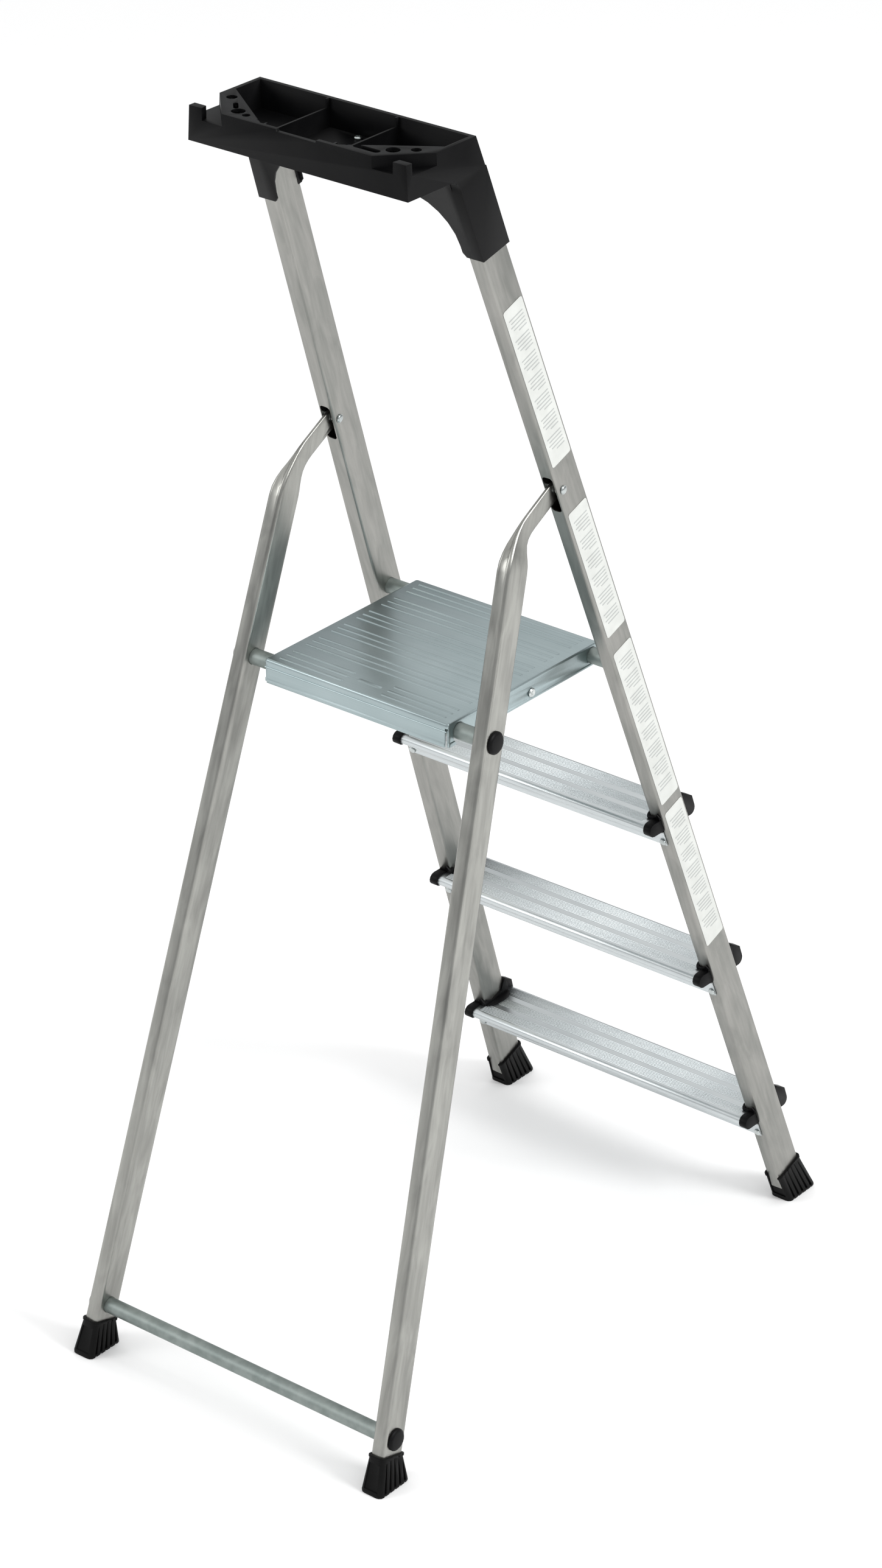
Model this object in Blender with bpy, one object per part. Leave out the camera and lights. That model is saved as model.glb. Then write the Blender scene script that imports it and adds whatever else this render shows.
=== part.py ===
"""Folding platform step ladder: steel stiles and rear legs, three steps, a hinged platform and a tool tray.

Metres, +Z up. The climbing side faces -Y and the rear legs stand towards +Y. Left and right are the
climber's, so left is -X. The origin is on the floor, at the middle of the four feet.
"""

import math

import bmesh
import bpy
from mathutils import Matrix, Vector

# Fits
GAP = 0.0003  # air between pieces that touch
SHEET = 0.0015  # wall of tubes, steps and platform

# Front stiles: a 40 x 20 mm tube that leans back and in
STILE_X = 0.2183  # half spacing of the centre lines at the floor
STILE_TAPER = 0.0577  # half spacing lost for each metre of height
STILE_Y = -0.3886
STILE_LEAN = 0.3738
STILE_COS = math.cos(math.atan(STILE_LEAN))
STILE_HALF_WIDTH = 0.0100
STILE_HALF_DEPTH = 0.0200
STILE_CORNER = 0.0030
STILE_LOW = 0.0262
STILE_HIGH = 1.4500

# Rear legs: a 36 x 18 mm tube that leans forward and in
LEG_X = 0.2171
LEG_TAPER = 0.0570
LEG_Y = 0.4000
LEG_LEAN = -0.2968
LEG_HALF_WIDTH = 0.0090
LEG_HALF_DEPTH = 0.0180
LEG_CORNER = 0.0040
LEG_LOW = 0.0240
LEG_HOLLOW_TOP = 0.9300

# Rear frame pivot, inside the stile, and the flattened end of the leg that turns on it
PIVOT_Z = 1.0685
PIVOT_BEHIND = 0.0122  # behind the stile's centre line, measured level
PIVOT_SHANK = 0.0030
TONGUE_HALF_WIDTH = 0.0020
TONGUE_HALF_DEPTH = 0.0120
TONGUE_DROP = math.radians(28.7)  # the tongue's slope below level, going back from the pivot
BEND_TANGENT = 0.0320
SLOT_LOW = 1.0405
SLOT_HIGH = 1.0851
SLOT_HALF_WIDTH = 0.0070

# Tubes across the ladder
TUBE_RADIUS = 0.0095
FRONT_TUBE_Z = 0.8212
REAR_TUBE_Z = 0.8209
LOWER_TUBE_Z = 0.0574
TUBE_SIDES = 20

# Steps
STEP_TOPS = {"lower": 0.1450, "middle": 0.3746, "upper": 0.6058}
STEP_REAR = 0.0417  # rear edge, behind the stile's centre line at the tread
STEP_FRONT = 0.0404
STEP_PAST_STILE = 0.0040  # end of the step, outside the stile's centre line
NOSE_RADIUS = 0.0060
FLANGE_TOP = 0.0170
FLANGE_BOTTOM = 0.0360
STEP_RIVET_DROP = 0.0312
STEP_RIVET_SHANK = 0.0022

# Platform
DECK_TOP = 0.8350
DECK_HALF_WIDTH = 0.1302
DECK_FRONT = 0.0107  # ahead of the front tube's axis
DECK_REAR = 0.0194  # behind the rear tube's axis
DECK_SIDE_DEPTH = 0.0262
DECK_REAR_DEPTH = 0.0284
DECK_CORNER = 0.0035
DECK_RIVET_BEHIND = 0.1103  # behind the front tube's axis
DECK_RIVET_Z = 0.8172
DECK_RIVET_HOLE = 0.0027  # radius
STIFFENER_HALF_DEPTH = 0.0130

# Tray
TRAY_TOP = 1.5000
TRAY_FLOOR = 1.4680
TRAY_UNDERSIDE = 1.4612
TRAY_WALL = 0.0050
TRAY_FRONT = 0.0232  # ahead of the stile's centre line, at the rim
TRAY_REAR = 0.2614
TRAY_BEHIND = 0.0240  # behind the stile's centre line, the rear of the sockets
SOCKET_LOW = 1.3630
SOCKET_FRONT_LOW = 1.3730
FILLET = 0.0170  # between the back of a socket and the tray's underside
FILLET_Z = 1.4440
ARCH_RADIUS = 0.0530
ARCH_START = 0.0135  # inward of the stile's centre line
ARCH_RISE = 0.0130
SOCKET_WALL = 0.0030
DIVIDER_X = 0.0465
DIVIDER_TOP = 1.4900
RECESS_FLOOR = 1.4865
SCREW_Y = 0.1624
SCREW_SHANK = 0.0016

# Feet
FOOT_HALF_WIDTH = 0.0150
FOOT_REACH = 0.4204  # the feet's outer edges, ahead of and behind the origin
FRONT_FOOT_LENGTH = 0.0544
REAR_FOOT_LENGTH = 0.0520
FOOT_SLEEVE = 0.0022

SIDES = {"left": -1, "right": 1}


def stile_x(z):
    return STILE_X - STILE_TAPER * z


def stile_y(z):
    return STILE_Y + STILE_LEAN * z


def leg_x(z):
    return LEG_X - LEG_TAPER * z


def leg_y(z):
    return LEG_Y + LEG_LEAN * z


PIVOT = Vector((0.0, stile_y(PIVOT_Z) + PIVOT_BEHIND, PIVOT_Z))
PLATFORM_AXIS = Vector((0.0, stile_y(FRONT_TUBE_Z), FRONT_TUBE_Z))
REAR_TUBE_Y = leg_y(REAR_TUBE_Z)


class Rail:
    """Local axes of a slanting tube: out from the ladder's middle, back across its depth, and along it."""

    def __init__(self, side, x, taper, y, lean):
        self.side = side
        self.x, self.taper, self.y, self.lean = x, taper, y, lean
        self.along = Vector((-side * taper, lean, 1.0)).normalized()
        self.back = Vector((0.0, 1.0, -lean)).normalized()
        self.out = self.back.cross(self.along).normalized()
        if self.out.x * side < 0:
            self.out.negate()

    def centre(self, z):
        return Vector((self.side * (self.x - self.taper * z), self.y + self.lean * z, z))

    def at(self, out, back, z, along=0.0):
        return self.centre(z) + self.out * out + self.back * back + self.along * along

    def ring(self, outline, z):
        """The outline's (out, back) points on the cross-section whose middle is at height z."""
        return [self.at(out, back, z) for out, back in outline]


def stile(side):
    return Rail(side, STILE_X, STILE_TAPER, STILE_Y, STILE_LEAN)


def leg(side):
    return Rail(side, LEG_X, LEG_TAPER, LEG_Y, LEG_LEAN)


def arc(centre, radius, start, end, steps):
    """Points on an arc, both ends included; angles in degrees."""
    points = []
    for i in range(steps + 1):
        angle = math.radians(start + (end - start) * i / steps)
        points.append((centre[0] + radius * math.cos(angle), centre[1] + radius * math.sin(angle)))
    return points


def rounded_box(half_a, half_b, radius, steps=3, centre=(0.0, 0.0)):
    points = []
    for turn, (sa, sb) in enumerate(((1, 1), (-1, 1), (-1, -1), (1, -1))):
        corner = (centre[0] + sa * (half_a - radius), centre[1] + sb * (half_b - radius))
        points += arc(corner, radius, 90 * turn, 90 * turn + 90, steps)
    return points


def offset(path, distance):
    """The open path moved sideways, to the left of its run where the distance is positive."""
    moved = []
    for i, point in enumerate(path):
        here = Vector(point)
        before = (here - Vector(path[i - 1])).normalized() if i else None
        after = (Vector(path[i + 1]) - here).normalized() if i < len(path) - 1 else None
        heading = ((before or after) + (after or before)).normalized()
        spread = distance / max(0.5, heading.dot(after or before))
        moved.append(tuple(here + Vector((-heading.y, heading.x)) * spread))
    return moved


def sheet_outline(path, thickness):
    """Closed outline of a bent sheet whose middle follows the path."""
    return offset(path, thickness / 2) + offset(path, -thickness / 2)[::-1]


def skin(rings, joined=False):
    """A closed skin through rings of equal length, capped at both ends or joined end to end."""
    return {"rings": rings, "joined": joined}


def add_skin(bm, shell):
    rows = [[bm.verts.new(point) for point in ring] for ring in shell["rings"]]
    pairs = list(zip(rows, rows[1:]))
    if shell["joined"]:
        pairs.append((rows[-1], rows[0]))
    else:
        bm.faces.new(rows[0][::-1])
        bm.faces.new(rows[-1])
    for low, high in pairs:
        for i in range(len(low)):
            j = (i + 1) % len(low)
            bm.faces.new((low[i], low[j], high[j], high[i]))


def turned(profile, origin, axis, sides=TUBE_SIDES, joined=False):
    """A turned body: profile holds (distance along the axis, radius)."""
    axis = Vector(axis).normalized()
    across = axis.cross(Vector((0.0, 1.0, 0.0)))
    if across.length < 0.1:
        across = axis.cross(Vector((0.0, 0.0, 1.0)))
    across.normalize()
    other = axis.cross(across)
    rings = []
    for distance, radius in profile:
        middle = Vector(origin) + axis * distance
        ring = []
        for i in range(sides):
            angle = 2 * math.pi * i / sides
            ring.append(middle + (across * math.cos(angle) + other * math.sin(angle)) * radius)
        rings.append(ring)
    return skin(rings, joined)


def level_corners(half_x, half_y, y, z):
    """The corners of a level rectangle centred on (0, y, z)."""
    signs = ((-1, -1), (1, -1), (1, 1), (-1, 1))
    return [Vector((a * half_x, y + b * half_y, z)) for a, b in signs]


def crosswise(outline, low, high):
    """A prism along X: outline holds (y, z); low and high are numbers, or functions of z."""
    rings = []
    for end in (low, high):
        rings.append([Vector((end(z) if callable(end) else end, y, z)) for y, z in outline])
    return skin(rings)


def upright(outline, low, high):
    """A prism along Z: outline holds (x, y)."""
    return skin([[Vector((x, y, z)) for x, y in outline] for z in (low, high)])


def block(x_low, x_high, y_low, y_high, z_low, z_high):
    x_low, x_high = sorted((x_low, x_high))
    return upright([(x_low, y_low), (x_high, y_low), (x_high, y_high), (x_low, y_high)], z_low, z_high)


def make_object(name, shells, origin=Vector()):
    bm = bmesh.new()
    for shell in shells:
        add_skin(bm, shell)
    bmesh.ops.recalc_face_normals(bm, faces=bm.faces)
    bmesh.ops.translate(bm, verts=bm.verts, vec=-Vector(origin))
    mesh = bpy.data.meshes.new(name)
    bm.to_mesh(mesh)
    bm.free()
    mesh.shade_smooth()
    mesh.set_sharp_from_angle(angle=math.radians(35))
    obj = bpy.data.objects.new(name, mesh)
    bpy.context.collection.objects.link(obj)
    return obj


def piece(name, shells, material, pivot=None):
    """A named solid. A moving one hangs on an empty that lies on its joint's axis."""
    obj = make_object(name, shells, pivot.location if pivot else Vector())
    obj.parent = pivot
    obj.data.materials.append(material)
    return obj


def combine(obj, operation, shells):
    """Cut the shells from the object, or join them to it, one Boolean for each shell."""
    for shell in shells:
        tool = make_object(obj.name + "_tool", [shell])
        tool.hide_render = True
        tool.display_type = "WIRE"
        modifier = obj.modifiers.new(operation.lower(), "BOOLEAN")
        modifier.operation = operation
        modifier.solver = "EXACT"
        modifier.object = tool


def cut(obj, shells):
    combine(obj, "DIFFERENCE", shells)


def join(obj, shells):
    combine(obj, "UNION", shells)


def pivot_empty(name, location):
    empty = bpy.data.objects.new(name, None)
    empty.location = location
    bpy.context.collection.objects.link(empty)
    return empty


def finish(name, color, roughness, metallic):
    material = bpy.data.materials.new(name)
    material.use_nodes = True
    shader = material.node_tree.nodes["Principled BSDF"]
    shader.inputs["Base Color"].default_value = (*color, 1.0)
    shader.inputs["Roughness"].default_value = roughness
    shader.inputs["Metallic"].default_value = metallic
    return material


# ---------------------------------------------------------------- front frame


def stile_solid(rail, low, high, grow):
    outline = rounded_box(STILE_HALF_WIDTH + grow, STILE_HALF_DEPTH + grow, STILE_CORNER + grow)
    return skin([rail.ring(outline, z) for z in (low, high)])


def pivot_centre(rail):
    """The pivot's point on the stile's middle plane, and the height of the cross-section it lies on."""
    back = PIVOT_BEHIND * rail.back.y
    section = PIVOT_Z - rail.back.z * back
    return rail.at(0.0, back, section)


def stile_section(rail, z):
    """Height of the middle of the cross-section whose rear face is at height z."""
    return z - rail.back.z * STILE_HALF_DEPTH


def front_section(rail, z):
    return z + rail.back.z * STILE_HALF_DEPTH


def front_stile(name, side, steel):
    rail = stile(side)
    outer = rounded_box(STILE_HALF_WIDTH, STILE_HALF_DEPTH, STILE_CORNER)
    inner = rounded_box(STILE_HALF_WIDTH - SHEET, STILE_HALF_DEPTH - SHEET, STILE_CORNER - SHEET)
    ends = ((outer, STILE_LOW), (outer, STILE_HIGH), (inner, STILE_HIGH), (inner, STILE_LOW))
    obj = piece(name, [skin([rail.ring(*end) for end in ends], joined=True)], steel)

    slot_half = (SLOT_HIGH - SLOT_LOW) / 2 / rail.along.z
    slot_middle = stile_section(rail, (SLOT_HIGH + SLOT_LOW) / 2)
    slot = []
    for back in (STILE_HALF_DEPTH - 3 * SHEET, STILE_HALF_DEPTH + 3 * SHEET):
        outline = rounded_box(SLOT_HALF_WIDTH, slot_half, SLOT_HALF_WIDTH * 0.6, 4)
        slot.append([rail.at(a, back, slot_middle, along) for a, along in outline])
    hole = PIVOT_SHANK + GAP
    reach = 2 * STILE_HALF_WIDTH
    cuts = [skin(slot), turned([(-reach, hole), (reach, hole)], pivot_centre(rail), rail.out, 16)]

    tube_middle = Vector((side * stile_x(FRONT_TUBE_Z), PLATFORM_AXIS.y, FRONT_TUBE_Z))
    bore = TUBE_RADIUS + GAP
    cuts.append(turned([(0.0, bore), (reach, bore)], tube_middle, (-side, 0, 0)))
    rivet_bore = STEP_RIVET_SHANK + GAP
    for top in STEP_TOPS.values():
        rear = rail.at(0.0, STILE_HALF_DEPTH, stile_section(rail, top - STEP_RIVET_DROP))
        front = rail.at(0.0, -STILE_HALF_DEPTH, front_section(rail, top - STEP_RIVET_DROP))
        for middle in (rear, front):
            cuts.append(turned([(-0.004, rivet_bore), (0.004, rivet_bore)], middle, rail.back, 12))
    cut(obj, cuts)


def step_path(top):
    """The sheet's middle line in (y, z): rear flange, rear nose, tread, front nose, front flange."""
    middle = stile_y(top)
    inset = GAP + 0.0001 + SHEET / 2
    level = (STILE_HALF_DEPTH + inset) / stile(1).back.y  # the stile's faces, measured level

    def face(sign, drop):
        return (middle - STILE_LEAN * drop + sign * level, top - drop)

    radius = NOSE_RADIUS - SHEET / 2
    rear = (middle + STEP_REAR - NOSE_RADIUS, top - NOSE_RADIUS)
    front = (middle - STEP_FRONT + NOSE_RADIUS, top - NOSE_RADIUS)
    path = [face(1, FLANGE_BOTTOM), face(1, FLANGE_TOP)]
    path += arc(rear, radius, -90, 90, 6)
    path += arc(front, radius, 90, 270, 6)
    path += [face(-1, FLANGE_TOP), face(-1, FLANGE_BOTTOM)]
    return path


def step_end(side):
    return lambda z: side * (stile_x(z) + STEP_PAST_STILE)


def step(level, top, steel):
    outline = sheet_outline(step_path(top), SHEET)
    obj = piece("step_" + level, [crosswise(outline, step_end(-1), step_end(1))], steel)
    rivet_bore = STEP_RIVET_SHANK + GAP
    cuts = []
    for side in SIDES.values():
        rail = stile(side)
        cuts.append(stile_solid(rail, top - 0.030, top + 0.030, GAP))
        rear = rail.at(0.0, STILE_HALF_DEPTH, stile_section(rail, top - STEP_RIVET_DROP))
        front = rail.at(0.0, -STILE_HALF_DEPTH, front_section(rail, top - STEP_RIVET_DROP))
        for middle in (rear, front):
            cuts.append(turned([(-0.005, rivet_bore), (0.005, rivet_bore)], middle, rail.back, 12))
    cut(obj, cuts)


def step_rivets(level, top, zinc):
    """A domed blind rivet through each flange into each stile."""
    head = 0.0045
    face = STILE_HALF_DEPTH + GAP + 0.0001 + SHEET + GAP
    profile = [(-0.0080, STEP_RIVET_SHANK), (0.0, STEP_RIVET_SHANK), (0.0, head), (0.0009, head)]
    profile += [(0.0018, head * 0.75), (0.0022, head * 0.35)]
    for side_name, side in SIDES.items():
        rail = stile(side)
        for place, sign in (("rear", 1), ("front", -1)):
            drop = top - STEP_RIVET_DROP
            section = stile_section(rail, drop) if sign > 0 else front_section(rail, drop)
            seat = rail.at(0.0, sign * face, section)
            name = "step_rivet_%s_%s_%s" % (level, place, side_name)
            piece(name, [turned(profile, seat, rail.back * sign, 12)], zinc)


def step_collar(level, top, side_name, side, plastic):
    """A moulded collar: it caps both noses, laps onto the tread and rises in a rim round the stile."""
    rail = stile(side)
    middle = stile_y(top)
    half_width = STILE_HALF_WIDTH
    face = STILE_HALF_DEPTH
    lap = 0.0018
    outer_edge = STEP_PAST_STILE + 0.0015
    wall = 0.0024
    apex = -0.006 if side > 0 else 0.0035

    def tapered(offset):
        return lambda z: side * (stile_x(z) + offset)

    def relative(points):
        return [(middle + y, top + z) for y, z in points]

    radius = NOSE_RADIUS + lap
    rear_nose = (STEP_REAR - NOSE_RADIUS, -NOSE_RADIUS)
    front_nose = (-STEP_FRONT + NOSE_RADIUS, -NOSE_RADIUS)
    rear_cap = arc(rear_nose, radius, -90, 90, 6) + [(0.012, lap), (0.012, -NOSE_RADIUS - radius)]
    front_cap = arc(front_nose, radius, 160, 270, 5)
    front_cap += [(-0.018, -NOSE_RADIUS - radius), (-0.018, 0.0175), (-0.0225, 0.0180), (-0.0375, 0.0095)]
    obj = piece(
        "step_collar_%s_%s" % (level, side_name),
        [crosswise(relative(rear_cap), tapered(-0.0049), tapered(outer_edge))],
        plastic,
    )

    lip = arc((0.0, 0.0), 1.0, 90, 270, 10)
    lip_outline = [(side * (stile_x(top) - half_width + 0.011 * a), middle + 0.0245 * b) for a, b in lip]
    lip_outline += [(side * (stile_x(top) + 0.003), middle + y) for y in (-0.0245, 0.0245)]

    def panel(points, start, end, spread):
        """A thin wall in the stile's own frame; spread says which way its thickness goes."""
        rings = []
        for depth in (start, end):
            if spread == "out":
                rings.append([rail.at(depth, back, top, along) for back, along in points])
            else:
                rings.append([rail.at(across, depth, top, along) for across, along in points])
        return skin(rings)

    inner = half_width + wall
    rim = [(-face - wall, -0.004), (face + wall, -0.004), (face + wall, 0.012), (face - 0.003, 0.0150)]
    rim += [(face - 0.012, 0.0065), (-face + 0.010, 0.0060), (-face + 0.002, 0.0170), (-face - wall, 0.0180)]
    fin = [(-inner, -0.004), (outer_edge, -0.004), (outer_edge, 0.0110), (apex + 0.0035, 0.0140)]
    fin += [(apex, 0.0190), (apex - 0.0035, 0.0140), (-inner, 0.0120)]
    front_rim = [(-inner, -0.004), (outer_edge, -0.004), (outer_edge, 0.0165), (-inner, 0.0180)]
    join(
        obj,
        [
            upright(lip_outline, top - 0.0012, top + lap),
            crosswise(relative(front_cap), tapered(-0.0049), tapered(outer_edge)),
            panel(rim, -inner, -half_width + 0.001, "out"),
            panel(fin, face - 0.001, face + wall, "back"),
            panel(front_rim, -face - wall, -face + 0.001, "back"),
        ],
    )
    tread = offset(step_path(top), -SHEET / 2 - GAP)
    cut(
        obj,
        [
            crosswise(tread, side * 0.05, lambda z: side * (stile_x(z) + STEP_PAST_STILE + GAP)),
            stile_solid(rail, top - 0.05, top + 0.05, GAP),
        ],
    )


def front_foot(side_name, side, rubber):
    rail = stile(side)
    centre = (side * STILE_X, -FOOT_REACH + FRONT_FOOT_LENGTH / 2)
    foot("front_foot_" + side_name, rail, centre, FRONT_FOOT_LENGTH, 0.0465, STILE_LOW, rubber, None)


def foot(name, rail, centre, length, rim, seat, rubber, pivot):
    """A shoe with straight sides, a flat sole and a pocket for the tube's end."""
    if rail.x == STILE_X:
        width, depth, corner = STILE_HALF_WIDTH, STILE_HALF_DEPTH, STILE_CORNER
    else:
        width, depth, corner = LEG_HALF_WIDTH, LEG_HALF_DEPTH, LEG_CORNER

    def level_ring(inset, z):
        outline = rounded_box(FOOT_HALF_WIDTH - inset, length / 2 - inset, 0.0060)
        return [Vector((centre[0] + rail.side * a, centre[1] + b, z)) for a, b in outline]

    rings = [level_ring(0.0004, 0.0), level_ring(0.0, 0.0012), level_ring(0.0, 0.0030)]
    sleeve = rounded_box(width + FOOT_SLEEVE, depth + FOOT_SLEEVE, corner + FOOT_SLEEVE)
    lip = rounded_box(width + FOOT_SLEEVE + 0.0008, depth + FOOT_SLEEVE + 0.0008, corner + FOOT_SLEEVE)
    pocket = rounded_box(width + GAP, depth + GAP, corner + GAP)
    levels = ((sleeve, rim - 0.0030), (lip, rim - 0.0024), (lip, rim), (pocket, rim))
    for outline, z in levels:
        rings.append(rail.ring(outline, z))
    rings.append(rail.ring(pocket, seat - GAP))
    piece(name, [skin(rings)], rubber, pivot)


def pivot_hardware(side_name, side, zinc):
    """The rivet that carries the rear leg, and a spacer each side of the leg's tongue."""
    rail = stile(side)
    centre = pivot_centre(rail)
    head = 0.0052
    face = STILE_HALF_WIDTH + GAP
    profile = [(-face - 0.0016, 0.0030), (-face - 0.0012, 0.0042), (-face, 0.0045), (-face, PIVOT_SHANK)]
    profile += [(face, PIVOT_SHANK), (face, head), (face + 0.0010, head * 0.92)]
    profile += [(face + 0.0020, head * 0.65), (face + 0.0024, head * 0.3)]
    piece("pivot_rivet_" + side_name, [turned(profile, centre, rail.out, 16)], zinc)
    bore = PIVOT_SHANK + GAP
    near = TONGUE_HALF_WIDTH + 0.0008
    far = STILE_HALF_WIDTH - SHEET - GAP
    for place, sign in (("outer", 1), ("inner", -1)):
        ring = [(near, bore), (near, 0.0058), (far, 0.0058), (far, bore)]
        name = "pivot_spacer_%s_%s" % (place, side_name)
        piece(name, [turned(ring, centre, rail.out * sign, 16, joined=True)], zinc)


def cross_tube(name, half_length, y, z, zinc, pivot=None):
    bore = TUBE_RADIUS - SHEET
    profile = [(-half_length, TUBE_RADIUS), (half_length, TUBE_RADIUS)]
    profile += [(half_length, bore), (-half_length, bore)]
    piece(name, [turned(profile, (0.0, y, z), (1, 0, 0), joined=True)], zinc, pivot)


# ---------------------------------------------------------------- tray


def tray_front(z):
    return stile_y(z) - TRAY_FRONT


def tray_back(z):
    return stile_y(z) + TRAY_BEHIND


def skirt(low, ahead, behind, top):
    """A wall parallel to the stiles' faces, from one stile to the other, arched up between them."""
    start = low + ARCH_RISE
    half = [(0.0, low), (ARCH_START - 0.0040, low), (ARCH_START, low + 0.0050), (ARCH_START, start)]
    half += arc((ARCH_START + ARCH_RADIUS, start), ARCH_RADIUS, 180 - 15, 90, 5)
    left = [(-stile_x(z) + inward, z) for inward, z in half]
    outline = left + [(-x, z) for x, z in reversed(left)] + [(stile_x(top), top), (-stile_x(top), top)]
    return skin([[Vector((x, stile_y(z) + y, z)) for x, z in outline] for y in (ahead, behind)])


def tray_side(z):
    return stile_x(z) + STILE_HALF_WIDTH + SOCKET_WALL


def tray(plastic):
    """The tool tray: a moulded box with a socket for each stile, dividers and pierced corner shelves."""
    top, under, rear, wall = TRAY_TOP, TRAY_UNDERSIDE, TRAY_REAR, TRAY_WALL
    front = tray_front(top)
    body = [(tray_front(under), under), (rear, under), (rear, top), (front, top)]
    obj = piece("tray", [crosswise(body, lambda z: -tray_side(z), tray_side)], plastic)

    # The sockets hang below the body: an outer wall each, open towards the middle of the ladder.
    fillet = arc((tray_back(FILLET_Z) + FILLET, FILLET_Z), FILLET, 180, 90, 5)
    for side in SIDES.values():
        outline = [(tray_front(under), under + 0.004), (tray_front(SOCKET_FRONT_LOW), SOCKET_FRONT_LOW)]
        outline.append((tray_back(SOCKET_LOW), SOCKET_LOW))
        outline += fillet + [(fillet[-1][0], under + 0.004)]
        shell = crosswise(
            outline,
            lambda z: side * (stile_x(z) - STILE_HALF_WIDTH),
            lambda z: side * tray_side(z),
        )
        join(obj, [shell])
    # A skirt behind the stiles and one ahead of them, both arched between the sockets
    behind = (STILE_HALF_DEPTH + GAP) / STILE_COS
    join(obj, [skirt(SOCKET_LOW, behind, TRAY_BEHIND, under + 0.004)])
    join(obj, [skirt(SOCKET_FRONT_LOW, -TRAY_FRONT, -behind, under + 0.004)])

    corner = 0.0960  # where the shelf's rear cut meets the rear wall
    shelf_in = 0.0520
    side_cut = 0.2134
    side_in = 0.1934
    inside = tray_side(top) - wall
    floor_x = DIVIDER_X - 0.0012
    cavities = []
    # Middle bin
    cavities.append(block(-floor_x, floor_x, front + wall, rear - wall, TRAY_FLOOR, top + 0.01))
    # Side bins, closed at the rear by the shelf's slanting wall
    for side in SIDES.values():
        plan = [
            (side * (floor_x + 0.0024), front + wall),
            (side * inside, front + wall),
            (side * inside, side_in),
            (side * shelf_in, rear - wall),
            (side * (floor_x + 0.0024), rear - wall),
        ]
        cavities.append(upright(plan, TRAY_FLOOR, top + 0.01))
    # Lower the dividers below the rim
    cavities.append(block(-0.06, 0.06, front + wall + 0.004, rear - wall - 0.004, DIVIDER_TOP, top + 0.02))
    # Shallow dip in the rear rim
    dip = [(-0.030, top + 0.01), (-0.026, top - 0.0027), (0.026, top - 0.0027), (0.030, top + 0.01)]
    cavities.append(skin([[Vector((x, y, z)) for x, z in dip] for y in (rear - wall - 0.004, rear + 0.01)]))
    for side in SIDES.values():
        # The corner beyond the shelf is lower, except for a horn at the very corner
        recess = [
            (side * (inside + 0.030), side_cut),
            (side * (inside + 0.005), side_cut),
            (side * corner, rear + 0.004),
            (side * corner, rear + 0.020),
            (side * 0.1240, rear + 0.020),
            (side * 0.1290, rear - 0.0090),
            (side * (inside + 0.030), rear - 0.0090),
        ]
        cavities.append(upright(recess, RECESS_FLOOR, top + 0.01))
        # Hollow under the shelf, open below
        plan = [
            (side * (inside - 0.003), side_in + 0.0060),
            (side * (inside - 0.003), side_cut + 0.0010),
            (side * (corner + 0.004), rear - wall),
            (side * (shelf_in + 0.008), rear - wall),
        ]
        cavities.append(upright(plan, under - 0.06, top - 0.0040))
    cavities += shelf_holes(top)
    # Pockets for the stiles
    for side in SIDES.values():
        rail = stile(side)
        cavities.append(stile_solid(rail, 1.330, STILE_HIGH + 0.0006, GAP))
    hole = SCREW_SHANK + GAP
    cavities.append(turned([(-0.02, hole), (0.02, hole)], (0.0, SCREW_Y, TRAY_FLOOR), (0, 0, 1), 16))
    cut(obj, cavities)


def shelf_holes(top):
    """Round and long tool holes in the shelves: (x, y, half length, radius, slant in degrees)."""
    holes = [
        (0.1260, 0.2154, 0.0, 0.0060, 0),
        (0.1054, 0.2329, 0.0063, 0.0028, 132),
        (0.0923, 0.2441, 0.0, 0.0078, 0),
        (0.0778, 0.2484, 0.0, 0.0045, 0),
        (-0.0820, 0.2474, 0.0125, 0.0044, 0),
        (-0.1053, 0.2339, 0.0, 0.0078, 0),
        (-0.1235, 0.2190, 0.0, 0.0057, 0),
    ]
    shells = []
    for x, y, half, radius, slant in holes:
        outline = arc((half, 0.0), radius, -90, 90, 8) + arc((-half, 0.0), radius, 90, 270, 8)
        if not half:
            outline = arc((0.0, 0.0), radius, 0, 360 - 360 / 16, 15)
        turn = Matrix.Rotation(math.radians(slant), 2)
        placed = [Vector((x, y)) + turn @ Vector(point) for point in outline]
        shells.append(upright(placed, top - 0.0110, top + 0.008))
    return shells


def tray_fixing(steel, zinc):
    """The channel welded between the stiles' heads, and the screw that holds the tray to it."""
    high = TRAY_UNDERSIDE - 0.0026
    low = high - 0.0140
    half_depth = 0.0085
    inside = STILE_HALF_WIDTH + GAP
    rings = []
    for z, shrink in ((high - SHEET, SHEET), (low, SHEET), (low, 0.0), (high, 0.0)):
        half_width = stile_x(z + 0.004) - inside - 0.0006 - shrink
        rings.append(level_corners(half_width, half_depth - shrink, SCREW_Y, z))
    brace = piece("tray_brace", [skin(rings)], steel)
    hole = SCREW_SHANK + GAP
    cut(brace, [turned([(-0.01, hole), (0.01, hole)], (0.0, SCREW_Y, high), (0, 0, 1), 16)])
    seat = TRAY_FLOOR + GAP
    profile = [(-0.0160, 0.0008), (-0.0140, SCREW_SHANK), (0.0, SCREW_SHANK), (0.0, 0.0046), (0.0012, 0.0046)]
    profile += [(0.0024, 0.0036), (0.0028, 0.0022)]
    screw = piece("tray_screw", [turned(profile, (0.0, SCREW_Y, seat), (0, 0, 1), 16)], zinc)
    arm, bit = 0.0022, 0.0005
    head = seat + 0.0016
    cut(
        screw,
        [
            block(-arm, arm, SCREW_Y - bit, SCREW_Y + bit, head, seat + 0.004),
            block(-bit, bit, SCREW_Y - arm, SCREW_Y + arm, head, seat + 0.004),
        ],
    )


# ---------------------------------------------------------------- rear frame


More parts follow.
